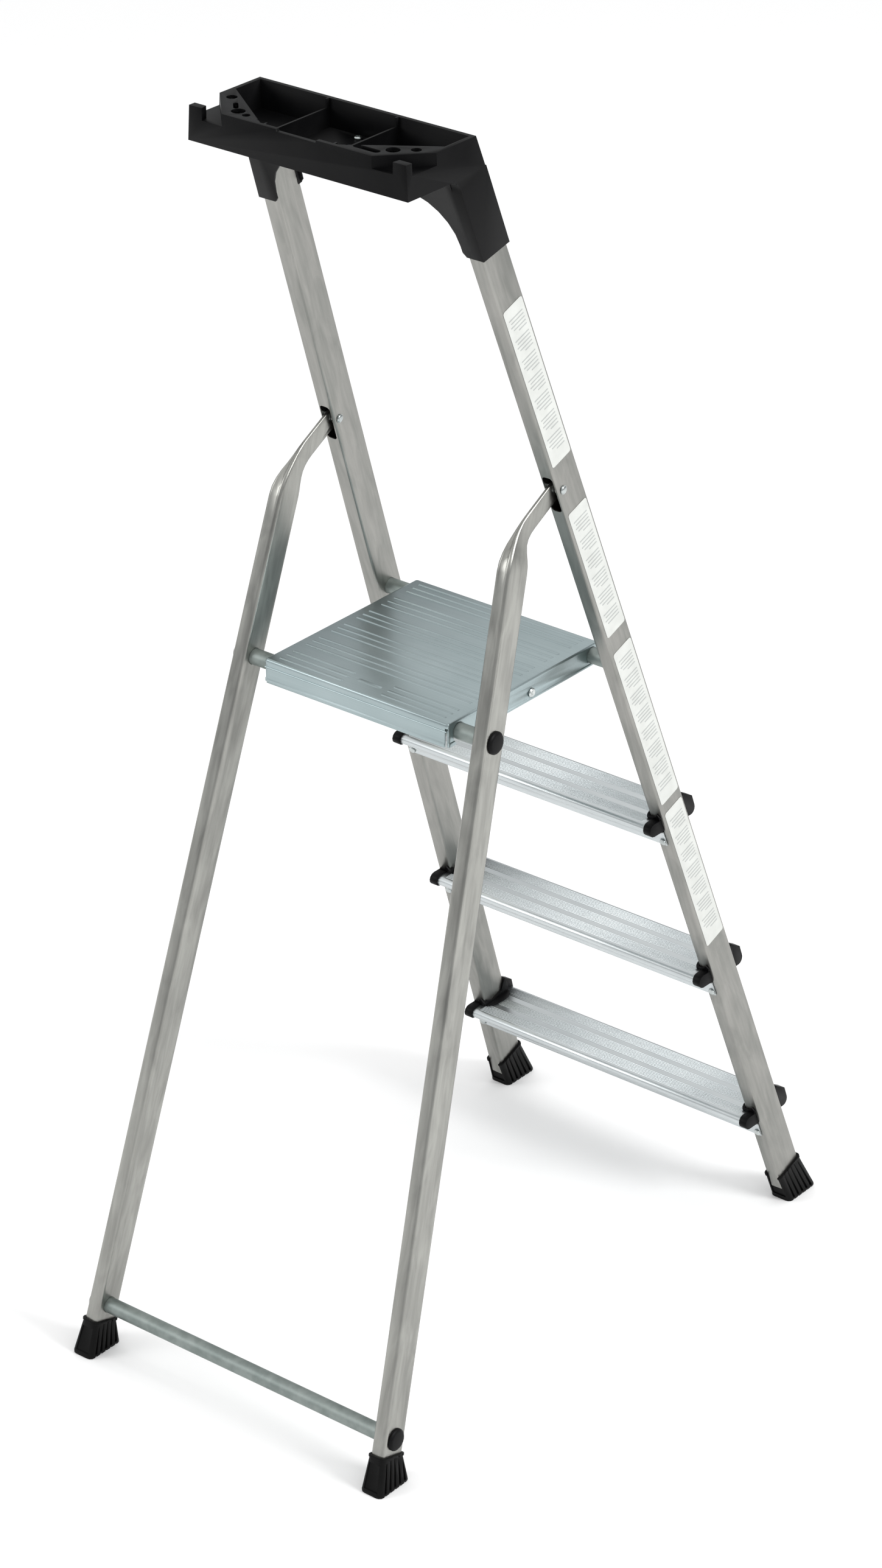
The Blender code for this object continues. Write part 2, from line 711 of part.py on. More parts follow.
def leg_outline(half_width, half_depth, radius, groove):
    """(out, back) points of the leg's section; the rear face is creased in by the groove."""
    radius = min(radius, 0.9 * half_width)
    corners = [(1, 1, 0), (1, -1, -90), (-1, -1, -180), (-1, 1, -270)]
    points = [(0.0, half_depth - groove)]
    for sign_a, sign_b, start in corners:
        corner = (sign_a * (half_width - radius), sign_b * (half_depth - radius))
        points += arc(corner, radius, start + 90, start, 3)
        if sign_b < 0 and sign_a > 0:
            points.append((0.0, -half_depth))
    return points


def ease(value):
    value = min(1.0, max(0.0, value))
    return value * value * (3 - 2 * value)


def leg_spine():
    """The leg's middle line above its straight part, as (y, z, heading): a bend, then the tongue."""
    up = Vector((LEG_LEAN, 1.0)).normalized()
    tongue = Vector((-math.cos(TONGUE_DROP), math.sin(TONGUE_DROP)))
    pivot = Vector((PIVOT.y, PIVOT.z))
    foot_point = Vector((LEG_Y, 0.0))
    gap = pivot - foot_point
    reach = (gap.x * tongue.y - gap.y * tongue.x) / (up.x * tongue.y - up.y * tongue.x)
    corner = foot_point + up * reach
    start, end = corner - up * BEND_TANGENT, corner + tongue * BEND_TANGENT
    steps = 7
    spine = []
    for i in range(steps + 1):
        t = i / steps
        point = start * (1 - t) ** 2 + corner * (2 * t * (1 - t)) + end * t**2
        heading = ((corner - start) * (1 - t) + (end - corner) * t).normalized()
        spine.append((point, heading, t))
    return spine, tongue, pivot


def rear_leg(side_name, side, steel, pivot):
    rail = leg(side)
    hollow = leg_outline(LEG_HALF_WIDTH - SHEET, LEG_HALF_DEPTH - SHEET, LEG_CORNER - SHEET, 0.0)
    outer = leg_outline(LEG_HALF_WIDTH, LEG_HALF_DEPTH, LEG_CORNER, 0.0)
    rings = [rail.ring(hollow, LEG_HOLLOW_TOP), rail.ring(hollow, LEG_LOW), rail.ring(outer, LEG_LOW)]
    rings.append(rail.ring(outer, 0.8800))
    spine, tongue, pivot_point = leg_spine()

    def section(point, heading, half_width, half_depth, groove):
        outline = leg_outline(half_width, half_depth, LEG_CORNER, groove)
        back = Vector((heading.y, -heading.x))
        x = side * leg_x(point.y)
        flat = side * leg_x(PIVOT_Z)
        blend = ease((LEG_HALF_WIDTH - half_width) / (LEG_HALF_WIDTH - TONGUE_HALF_WIDTH))
        ring = []
        for across, depth in outline:
            y, z = point + back * depth
            lean = side * (leg_x(z) - leg_x(point.y)) * (1 - blend)
            ring.append(Vector((x * (1 - blend) + flat * blend + lean + side * across, y, z)))
        return ring

    start, heading, _ = spine[0]
    for before, groove in ((0.050, 0.0010), (0.020, 0.0024)):
        rings.append(section(start - heading * before, heading, LEG_HALF_WIDTH, LEG_HALF_DEPTH, groove))
    for point, heading, t in spine:
        half_width = LEG_HALF_WIDTH + (TONGUE_HALF_WIDTH - LEG_HALF_WIDTH) * ease(t * 1.02)
        half_depth = LEG_HALF_DEPTH + (TONGUE_HALF_DEPTH - LEG_HALF_DEPTH) * ease(t * 1.3)
        groove = 0.0036 + 0.0044 * ease(t * 2) - 0.0074 * ease(t * 2 - 1)
        rings.append(section(point, heading, half_width, half_depth, groove))
    for before in (0.024, 0.0):
        point = pivot_point - tongue * before
        rings.append(section(point, tongue, TONGUE_HALF_WIDTH, TONGUE_HALF_DEPTH, 0.0004))
    for turn in (35, 60, 82):
        beyond = TONGUE_HALF_DEPTH * math.sin(math.radians(turn))
        half_depth = TONGUE_HALF_DEPTH * math.cos(math.radians(turn))
        rings.append(section(pivot_point + tongue * beyond, tongue, TONGUE_HALF_WIDTH, half_depth, 0.0))
    obj = piece("rear_leg_" + side_name, [skin(rings)], steel, pivot)

    bore = TUBE_RADIUS + 0.0005
    shank = PIVOT_SHANK + 0.0004
    cuts = [turned([(-0.02, shank), (0.02, shank)], (side * leg_x(PIVOT_Z), PIVOT.y, PIVOT.z), (1, 0, 0), 16)]
    for z in (REAR_TUBE_Z, LOWER_TUBE_Z):
        cuts.append(turned([(-0.02, bore), (0.02, bore)], (side * leg_x(z), leg_y(z), z), (1, 0, 0)))
    cut(obj, cuts)


def tube_caps(level, z, side_name, side, plastic, pivot):
    """A bevelled cap on the leg's outer face, plugged into the tube's end."""
    rail = leg(side)
    radius = 0.0132
    seat = rail.at(LEG_HALF_WIDTH + GAP, 0.0, z)
    profile = [(-0.0090, 0.0046), (-0.0080, 0.0056), (0.0, 0.0056), (0.0, radius), (0.0018, radius)]
    profile += [(0.0036, radius - 0.0022), (0.0040, radius - 0.0040)]
    name = "tube_cap_%s_%s" % (level, side_name)
    piece(name, [turned(profile, seat, rail.out, 20)], plastic, pivot)


def rear_foot(side_name, side, rubber, pivot):
    centre = (side * LEG_X, FOOT_REACH - REAR_FOOT_LENGTH / 2)
    foot("rear_foot_" + side_name, leg(side), centre, REAR_FOOT_LENGTH, 0.0390, LEG_LOW, rubber, pivot)


# ---------------------------------------------------------------- platform


def deck(steel, pivot):
    """The standing platform: a pressed pan with hemmed side flanges and a hook over the rear tube."""
    front = PLATFORM_AXIS.y - DECK_FRONT
    rear = REAR_TUBE_Y + DECK_REAR
    centre = (0.0, (front + rear) / 2)
    half = (rear - front) / 2
    bottom = DECK_TOP - DECK_REAR_DEPTH
    hem = 0.0010

    def ring(grow, z):
        outline = rounded_box(DECK_HALF_WIDTH + grow, half + grow, DECK_CORNER + grow, 3, centre)
        return [Vector((x, y, z)) for x, y in outline]

    side_low = DECK_TOP - DECK_SIDE_DEPTH
    rings = [ring(-SHEET, DECK_TOP - SHEET), ring(-SHEET, bottom)]
    rings += [ring(hem, bottom), ring(hem, side_low + 0.0018), ring(0.0, side_low + 0.0026)]
    rings += [ring(0.0, DECK_TOP - 0.0030), ring(-0.0009, DECK_TOP - 0.0009), ring(-0.0030, DECK_TOP)]
    obj = piece("platform_deck", [skin(rings)], steel, pivot)

    axis_y, axis_z = PLATFORM_AXIS.y, PLATFORM_AXIS.z
    tube_y, tube_z = REAR_TUBE_Y, REAR_TUBE_Z
    wide = DECK_HALF_WIDTH + 0.010
    inner = DECK_HALF_WIDTH - SHEET - 0.0010
    bore = TUBE_RADIUS + GAP
    sweep = math.tan(math.radians(23))  # the way the rear tube leaves the hook, going down and forward
    notch = arc((tube_y, tube_z), TUBE_RADIUS + 0.0006, 0, 180, 12)
    below = bottom - 0.010
    notch += [(tube_y - 0.0152, tube_z - 0.004), (tube_y - 0.0152 - 0.012 * sweep, below)]
    notch += [(tube_y + 0.0040, below), (tube_y + 0.0046, tube_z - 0.0146)]
    notch.append((tube_y + 0.0080, tube_z - 0.0090))
    ear = [(front - 0.01, axis_z + 0.004), (front - 0.0025, axis_z + 0.004)]
    ear += arc((axis_y, axis_z), DECK_FRONT + hem + 0.0004, 190, 262, 6)
    ear += [(axis_y, side_low), (axis_y, below), (front - 0.01, below)]
    slit = 0.0040
    rivet_hole = (0, axis_y + DECK_RIVET_BEHIND, DECK_RIVET_Z)
    cuts = [
        crosswise(notch, -wide, wide),
        crosswise(ear, -wide, wide),
        block(-wide, wide, axis_y - 0.001, tube_y + 0.0028, below, side_low),
        block(-inner, inner, front - 0.01, axis_y, below, axis_z + 0.0086),
        turned([(-wide, bore), (wide, bore)], PLATFORM_AXIS, (1, 0, 0)),
        turned([(-wide, DECK_RIVET_HOLE), (wide, DECK_RIVET_HOLE)], rivet_hole, (1, 0, 0), 12),
    ]
    for side in SIDES.values():
        near = side * (DECK_HALF_WIDTH - slit)
        cuts.append(block(near, side * wide, rear - 0.0020, rear + 0.010, below, DECK_TOP - 0.006))
    cut(obj, cuts)


def deck_fixings(steel, zinc, pivot):
    """A cross channel under the deck, held by a rivet through each side flange."""
    middle = PLATFORM_AXIS.y + DECK_RIVET_BEHIND
    reach = DECK_HALF_WIDTH - SHEET - GAP
    high = DECK_TOP - SHEET - GAP
    low = DECK_TOP - DECK_SIDE_DEPTH + 0.0010
    rings = []
    for z, shrink in ((high - SHEET, SHEET), (low, SHEET), (low, 0.0), (high, 0.0)):
        rings.append(level_corners(reach - shrink, STIFFENER_HALF_DEPTH - shrink, middle, z))
    channel = piece("platform_stiffener", [skin(rings)], steel, pivot)
    bore = [(-DECK_HALF_WIDTH, DECK_RIVET_HOLE), (DECK_HALF_WIDTH, DECK_RIVET_HOLE)]
    cut(channel, [turned(bore, (0, middle, DECK_RIVET_Z), (1, 0, 0), 12)])
    face = DECK_HALF_WIDTH + GAP
    profile = [(-0.0080, 0.0024), (0.0, 0.0024), (0.0, 0.0054), (0.0010, 0.0054), (0.0020, 0.0044)]
    profile += [(0.0022, 0.0026), (0.0014, 0.0012)]
    for side_name, side in SIDES.items():
        seat = (side * face, middle, DECK_RIVET_Z)
        piece("platform_rivet_" + side_name, [turned(profile, seat, (side, 0, 0), 16)], zinc, pivot)


def build():
    for obj in list(bpy.data.objects):
        bpy.data.objects.remove(obj)
    painted = finish("grey_painted_steel", (0.36, 0.37, 0.35), 0.35, 0.6)
    tread = finish("galvanised_sheet", (0.55, 0.58, 0.59), 0.4, 0.8)
    zinc = finish("zinc_plated_steel", (0.50, 0.52, 0.52), 0.3, 1.0)
    plastic = finish("black_moulded_plastic", (0.012, 0.012, 0.013), 0.45, 0.0)
    rubber = finish("black_rubber", (0.014, 0.014, 0.014), 0.7, 0.0)
    rear = pivot_empty("rear_frame_pivot", PIVOT)
    platform = pivot_empty("platform_pivot", PLATFORM_AXIS)

    for side_name, side in SIDES.items():
        front_stile("front_stile_" + side_name, side, painted)
        front_foot(side_name, side, rubber)
        pivot_hardware(side_name, side, zinc)
        rear_leg(side_name, side, painted, rear)
        rear_foot(side_name, side, rubber, rear)
        for level, z in (("upper", REAR_TUBE_Z), ("lower", LOWER_TUBE_Z)):
            tube_caps(level, z, side_name, side, plastic, rear)
    for level, top in STEP_TOPS.items():
        step(level, top, tread)
        step_rivets(level, top, zinc)
        for side_name, side in SIDES.items():
            step_collar(level, top, side_name, side, plastic)
    inside_stile = stile_x(FRONT_TUBE_Z + TUBE_RADIUS) + STILE_HALF_WIDTH - SHEET - GAP
    cross_tube("front_platform_tube", inside_stile, PLATFORM_AXIS.y, FRONT_TUBE_Z, zinc)
    for level, z in (("upper", REAR_TUBE_Z), ("lower", LOWER_TUBE_Z)):
        half_length = leg_x(z) + LEG_HALF_WIDTH - 0.0008
        cross_tube("rear_%s_tube" % level, half_length, leg_y(z), z, zinc, rear)
    tray(plastic)
    tray_fixing(painted, zinc)
    deck(tread, platform)
    deck_fixings(tread, zinc, platform)


build()
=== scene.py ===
import math

import bmesh
import bpy
from mathutils import Matrix, Vector


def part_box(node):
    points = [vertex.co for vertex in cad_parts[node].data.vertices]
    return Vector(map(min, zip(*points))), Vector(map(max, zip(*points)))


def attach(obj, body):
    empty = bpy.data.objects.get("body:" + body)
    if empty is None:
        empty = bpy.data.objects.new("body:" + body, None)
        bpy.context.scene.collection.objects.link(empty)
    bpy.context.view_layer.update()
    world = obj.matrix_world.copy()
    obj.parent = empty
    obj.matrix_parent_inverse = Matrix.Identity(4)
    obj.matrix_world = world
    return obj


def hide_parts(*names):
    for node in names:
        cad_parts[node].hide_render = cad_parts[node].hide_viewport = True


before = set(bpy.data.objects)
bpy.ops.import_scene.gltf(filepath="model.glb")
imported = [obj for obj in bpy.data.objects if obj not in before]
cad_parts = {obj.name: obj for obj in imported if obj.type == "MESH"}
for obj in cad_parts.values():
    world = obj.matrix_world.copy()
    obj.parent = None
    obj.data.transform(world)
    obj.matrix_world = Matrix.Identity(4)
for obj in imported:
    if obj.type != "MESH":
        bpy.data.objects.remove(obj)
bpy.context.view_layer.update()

SKY_STRENGTH = 1.0
KEY_POWER = 130
FILL_POWER = 60
FRONT, REAR, PLATFORM = "front_frame", "rear_frame", "platform"
SIDES = {"left": -1, "right": 1}
LEVELS = ("lower", "middle", "upper")
MM = 0.001

# The slanting tubes, as the part has them: half spacing at the floor, what it loses per metre of height, the
# place of the centre line at the floor, its lean, and half the section's width and depth
STILE = {"x": 0.2183, "taper": 0.0577, "y": -0.3886, "lean": 0.3738, "width": 0.010, "depth": 0.020}
LEG = {"x": 0.2171, "taper": 0.0570, "y": 0.4000, "lean": -0.2968, "width": 0.009, "depth": 0.018}


# ---------------------------------------------------------------- small tools


def middle(node):
    low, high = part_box(node)
    return (Vector(low) + Vector(high)) / 2


def add(tree, kind, inputs=None, **settings):
    """Adds a node, sets its properties, and fills its inputs with values or links."""
    made = tree.nodes.new(kind)
    for name, value in settings.items():
        setattr(made, name, value)
    for key, value in (inputs or {}).items():
        if isinstance(value, bpy.types.NodeSocket):
            tree.links.new(value, made.inputs[key])
        else:
            made.inputs[key].default_value = value
    return made


def linear(text):
    """A hex sRGB colour as linear RGBA."""
    values = [int(text[i : i + 2], 16) / 255 for i in (1, 3, 5)]
    return [v / 12.92 if v <= 0.04045 else ((v + 0.055) / 1.055) ** 2.4 for v in values] + [1.0]


def smooth(mesh, angle=38):
    mesh.shade_smooth()
    mesh.set_sharp_from_angle(angle=math.radians(angle))


def new_object(name, mesh):
    obj = bpy.data.objects.new(name, mesh)
    bpy.context.collection.objects.link(obj)
    return obj


def baked(obj):
    """Turns the object's modifiers into plain mesh."""
    mesh = bpy.data.meshes.new_from_object(obj.evaluated_get(bpy.context.evaluated_depsgraph_get()))
    obj.modifiers.clear()
    obj.data = mesh
    return obj


def dress(obj, body, material, nodes=()):
    obj.data.materials.clear()
    obj.data.materials.append(material)
    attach(obj, body)
    if nodes:
        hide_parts(*nodes)
    return obj


def refine(node, body, material, bevel=0.0, angle=38):
    """A clean copy of a CAD node: merged, its flat faces made whole, and its edges rounded."""
    bm = bmesh.new()
    bm.from_mesh(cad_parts[node].data)
    bmesh.ops.remove_doubles(bm, verts=bm.verts, dist=0.00001)
    bmesh.ops.dissolve_limit(bm, angle_limit=math.radians(0.8), verts=bm.verts, edges=bm.edges)
    mesh = bpy.data.meshes.new(node + "_finished")
    bm.to_mesh(mesh)
    bm.free()
    obj = new_object(node + "_finished", mesh)
    if bevel:
        rounding = obj.modifiers.new("rounding", "BEVEL")
        rounding.width = bevel
        rounding.segments = 2
        rounding.limit_method = "ANGLE"
        rounding.angle_limit = math.radians(34)
        baked(obj)
    smooth(obj.data, angle)
    return dress(obj, body, material, (node,))


def turned(name, profile, origin, axis, sides=48, closed=False):
    """A body turned about an axis: profile holds (distance along it, radius)."""
    axis = Vector(axis).normalized()
    side = axis.orthogonal().normalized()
    other = axis.cross(side)
    bm = bmesh.new()
    rings = []
    for distance, radius in profile:
        centre = Vector(origin) + axis * distance
        ring = []
        for i in range(sides):
            angle = 2 * math.pi * i / sides
            ring.append(bm.verts.new(centre + (side * math.cos(angle) + other * math.sin(angle)) * radius))
        rings.append(ring)
    pairs = list(zip(rings, rings[1:]))
    if closed:
        pairs.append((rings[-1], rings[0]))
    else:
        bm.faces.new(rings[0][::-1])
        bm.faces.new(rings[-1])
    for low, high in pairs:
        for i in range(sides):
            j = (i + 1) % sides
            bm.faces.new((low[i], low[j], high[j], high[i]))
    bmesh.ops.recalc_face_normals(bm, faces=bm.faces)
    mesh = bpy.data.meshes.new(name)
    bm.to_mesh(mesh)
    bm.free()
    smooth(mesh)
    return new_object(name, mesh)


# ---------------------------------------------------------------- materials


def base_material(name, roughness, metallic=0.0):
    material = bpy.data.materials.new(name)
    material.use_nodes = True
    tree = material.node_tree
    shader = tree.nodes["Principled BSDF"]
    shader.inputs["Metallic"].default_value = metallic
    shader.inputs["Roughness"].default_value = roughness
    place = add(tree, "ShaderNodeTexCoord").outputs["Object"]
    return material, tree, shader, place


def blend_colours(tree, factor, dark, light, low=0.3, high=0.7):
    ramp = add(tree, "ShaderNodeValToRGB", {"Fac": factor})
    ramp.color_ramp.elements[0].position = low
    ramp.color_ramp.elements[0].color = linear(dark)
    ramp.color_ramp.elements[1].position = high
    ramp.color_ramp.elements[1].color = linear(light)
    return ramp.outputs["Color"]


def uneven_gloss(tree, shader, factor, least, most):
    """Lets the roughness wander between two values with the surface's own clouds."""
    gloss = add(tree, "ShaderNodeMapRange", {"Value": factor, 3: least, 4: most})
    tree.links.new(gloss.outputs[0], shader.inputs["Roughness"])


def galvanised_tube(name, dark, light, lean, roughness):
    """Drawn steel tube with a passivated zinc coat: a grey metal, cloudy in patches 60 mm long, with faint
    lines along the tube where the rollers pulled it."""
    material, tree, shader, place = base_material(name, roughness, 1.0)
    turned_place = add(tree, "ShaderNodeMapping", {"Vector": place, "Rotation": (lean, 0, 0)}).outputs[0]
    along = add(tree, "ShaderNodeMapping", {"Vector": turned_place, "Scale": (260, 260, 5)}).outputs[0]
    clouds_at = add(tree, "ShaderNodeMapping", {"Vector": turned_place, "Scale": (55, 55, 14)}).outputs[0]
    lines = add(tree, "ShaderNodeTexNoise", {"Vector": along, "Scale": 1.0, "Detail": 4.0})
    cloudy = {"Vector": clouds_at, "Scale": 1.0, "Detail": 5.0, "Distortion": 0.8}
    clouds = add(tree, "ShaderNodeTexNoise", cloudy)
    both = {0: 0.28, 2: clouds.outputs[0], 3: lines.outputs[0]}
    mixed = add(tree, "ShaderNodeMix", both, data_type="FLOAT")
    colour = blend_colours(tree, mixed.outputs[0], dark, light, 0.34, 0.66)
    tree.links.new(colour, shader.inputs["Base Color"])
    uneven_gloss(tree, shader, clouds.outputs[0], roughness - 0.05, roughness + 0.09)
    bump = add(tree, "ShaderNodeBump", {"Height": lines.outputs[0], "Strength": 0.12, "Distance": 0.0004})
    tree.links.new(bump.outputs[0], shader.inputs["Normal"])
    return material


def pressed_sheet(name, dark, light, roughness):
    """Pressed sheet steel with a passivated zinc coat: a smooth, cool grey, barely clouded, with fine rolling
    lines across the ladder that spread its shine. The real lines are finer than these 2.4 mm."""
    material, tree, shader, place = base_material(name, roughness, 1.0)
    clouds = add(tree, "ShaderNodeTexNoise", {"Vector": place, "Scale": 11.0, "Detail": 3.0})
    rolled = add(tree, "ShaderNodeMapping", {"Vector": place, "Scale": (6, 420, 420)}).outputs[0]
    lines = add(tree, "ShaderNodeTexNoise", {"Vector": rolled, "Scale": 1.0, "Detail": 3.0})
    both = {0: 0.35, 2: clouds.outputs[0], 3: lines.outputs[0]}
    mixed = add(tree, "ShaderNodeMix", both, data_type="FLOAT")
    colour = blend_colours(tree, mixed.outputs[0], dark, light, 0.3, 0.7)
    tree.links.new(colour, shader.inputs["Base Color"])
    uneven_gloss(tree, shader, clouds.outputs[0], roughness - 0.05, roughness + 0.05)
    bump = add(tree, "ShaderNodeBump", {"Height": lines.outputs[0], "Strength": 0.05, "Distance": 0.0003})
    tree.links.new(bump.outputs[0], shader.inputs["Normal"])
    return material


def zinc_plate(name, dark, light, roughness):
    """Zinc plate on rivets and drawn tubes: clearer than the galvanised pieces, with a faint cloudy bloom."""
    material, tree, shader, place = base_material(name, roughness, 1.0)
    clouds = add(tree, "ShaderNodeTexNoise", {"Vector": place, "Scale": 70.0, "Detail": 4.0})
    colour = blend_colours(tree, clouds.outputs[0], dark, light, 0.35, 0.65)
    tree.links.new(colour, shader.inputs["Base Color"])
    uneven_gloss(tree, shader, clouds.outputs[0], roughness - 0.05, roughness + 0.05)
    return material


def moulded_plastic(name, dark, light, grain, roughness):
    """Injection-moulded black plastic: an eroded grain about as wide as the given millimetres breaks up its
    shine, and handling leaves it slightly uneven."""
    material, tree, shader, place = base_material(name, roughness)
    shader.inputs["IOR"].default_value = 1.5
    shader.inputs["Specular IOR Level"].default_value = 0.1
    fine = add(tree, "ShaderNodeTexNoise", {"Vector": place, "Scale": 1.0 / (grain * MM), "Detail": 2.0})
    broad = add(tree, "ShaderNodeTexNoise", {"Vector": place, "Scale": 30.0, "Detail": 4.0})
    colour = blend_colours(tree, broad.outputs[0], dark, light)
    tree.links.new(colour, shader.inputs["Base Color"])
    uneven_gloss(tree, shader, broad.outputs[0], roughness - 0.06, roughness + 0.08)
    bump = add(tree, "ShaderNodeBump", {"Height": fine.outputs[0], "Strength": 0.25, "Distance": 0.0002})
    tree.links.new(bump.outputs[0], shader.inputs["Normal"])
    return material


def vinyl(name, colour):
    """Printed vinyl sticker: smooth and softly glossy, a little mottled by the tube under it."""
    material, tree, shader, place = base_material(name, 0.35)
    broad = add(tree, "ShaderNodeTexNoise", {"Vector": place, "Scale": 60.0, "Detail": 3.0})
    shade = "#" + "".join("%02x" % max(0, int(colour[i : i + 2], 16) - 10) for i in (1, 3, 5))
    tree.links.new(blend_colours(tree, broad.outputs[0], shade, colour), shader.inputs["Base Color"])
    return material


STILE_STEEL = galvanised_tube("galvanised_stile_tube", "#868783", "#a09f9b", math.atan(STILE["lean"]), 0.36)
LEG_STEEL = galvanised_tube("galvanised_leg_tube", "#8b8b87", "#a8a8a3", math.atan(LEG["lean"]), 0.30)
DECK_SHEET = pressed_sheet("passivated_deck_sheet", "#98a6a8", "#a8b5b7", 0.34)
STEP_SHEET = pressed_sheet("bright_step_sheet", "#bfc5c7", "#d0d5d6", 0.34)
TUBE_ZINC = zinc_plate("passivated_tube_zinc", "#848d8a", "#969e9b", 0.56)
ZINC = zinc_plate("bright_rivet_zinc", "#a9afaf", "#c4c9c8", 0.22)
TRAY_PLASTIC = moulded_plastic("moulded_tray_plastic", "#050506", "#0b0b0c", 0.5, 0.4)
TRIM_PLASTIC = moulded_plastic("moulded_trim_plastic", "#060607", "#0d0d0e", 0.4, 0.42)
SHOE_RUBBER = moulded_plastic("moulded_shoe_rubber", "#070707", "#0f0f0f", 0.7, 0.5)
STICKER = vinyl("white_vinyl", "#cfd1cd")
STICKER_PRINT = vinyl("grey_printed_vinyl", "#adb0ae")


# ---------------------------------------------------------------- geometry nodes


def new_tree(name, inputs):
    tree = bpy.data.node_groups.new(name, "GeometryNodeTree")
    tree.interface.new_socket("Geometry", in_out="INPUT", socket_type="NodeSocketGeometry")
    for label, kind in inputs:
        tree.interface.new_socket(label, in_out="INPUT", socket_type=kind)
    tree.interface.new_socket("Geometry", in_out="OUTPUT", socket_type="NodeSocketGeometry")
    return tree, tree.nodes.new("NodeGroupInput").outputs


def close_tree(tree, geometry, material):
    realised = add(tree, "GeometryNodeRealizeInstances", {"Geometry": geometry})
    shaded = add(tree, "GeometryNodeSetShadeSmooth", {"Geometry": realised.outputs[0]})
    coated = add(tree, "GeometryNodeSetMaterial", {"Geometry": shaded.outputs[0], "Material": material})
    add(tree, "NodeGroupOutput", {0: coated.outputs[0]})


def grown(name, tree, values, mesh=None):
    """A new object whose mesh is what the tree makes of the values."""
    obj = new_object(name, mesh or bpy.data.meshes.new(name))
    modifier = obj.modifiers.new("grown", "NODES")
    modifier.node_group = tree
    sockets = {item.name: item.identifier for item in tree.interface.items_tree if item.in_out == "INPUT"}
    for label, value in values.items():
        modifier[sockets[label]] = value
    return baked(obj)


def ridge_tree(material):
    """Rows of low ridges with round ends, in groups, lying along X and set side by side along Y."""
    labels = ("Length", "Half Width", "Height", "Sink", "Rib Pitch", "Group Pitch")
    kinds = [(label, "NodeSocketFloat") for label in labels]
    kinds += [("Ribs", "NodeSocketInt"), ("Groups", "NodeSocketInt")]
    tree, given = new_tree("pressed_ridges", kinds)
    ball = add(tree, "GeometryNodeMeshUVSphere", {"Segments": 16, "Rings": 10, "Radius": given["Half Width"]})
    place = add(tree, "GeometryNodeInputPosition").outputs[0]
    x = add(tree, "ShaderNodeSeparateXYZ", {0: place}).outputs[0]
    way = add(tree, "ShaderNodeMath", {0: x}, operation="SIGN").outputs[0]
    half = add(tree, "ShaderNodeMath", {0: given["Length"], 1: 0.5}, operation="MULTIPLY").outputs[0]
    reach = add(tree, "ShaderNodeMath", {0: half, 1: given["Half Width"]}, operation="SUBTRACT").outputs[0]
    shift = add(tree, "ShaderNodeMath", {0: way, 1: reach}, operation="MULTIPLY").outputs[0]
    offset = add(tree, "ShaderNodeCombineXYZ", {0: shift}).outputs[0]
    long = add(tree, "GeometryNodeSetPosition", {"Geometry": ball.outputs[0], "Offset": offset})
    tall = add(tree, "ShaderNodeMath", {0: given["Height"], 1: given["Sink"]}, operation="ADD").outputs[0]
    flat = add(tree, "ShaderNodeMath", {0: tall, 1: given["Half Width"]}, operation="DIVIDE").outputs[0]
    low = add(tree, "ShaderNodeMath", {0: given["Sink"], 1: -1.0}, operation="MULTIPLY").outputs[0]
    scale = add(tree, "ShaderNodeCombineXYZ", {0: 1.0, 1: 1.0, 2: flat}).outputs[0]
    drop = add(tree, "ShaderNodeCombineXYZ", {2: low}).outputs[0]
    lowered = {"Geometry": long.outputs[0], "Scale": scale, "Translation": drop}
    rib = add(tree, "GeometryNodeTransform", lowered)
    step = add(tree, "ShaderNodeCombineXYZ", {1: given["Rib Pitch"]}).outputs[0]
    row = add(tree, "GeometryNodeMeshLine", {"Count": given["Ribs"], "Offset": step})
    group = add(tree, "GeometryNodeInstanceOnPoints", {"Points": row.outputs[0], "Instance": rib.outputs[0]})
    leap = add(tree, "ShaderNodeCombineXYZ", {1: given["Group Pitch"]}).outputs[0]
    rows = add(tree, "GeometryNodeMeshLine", {"Count": given["Groups"], "Offset": leap})
    spread = {"Points": rows.outputs[0], "Instance": group.outputs[0]}
    every = add(tree, "GeometryNodeInstanceOnPoints", spread)
    close_tree(tree, every.outputs[0], material)
    return tree


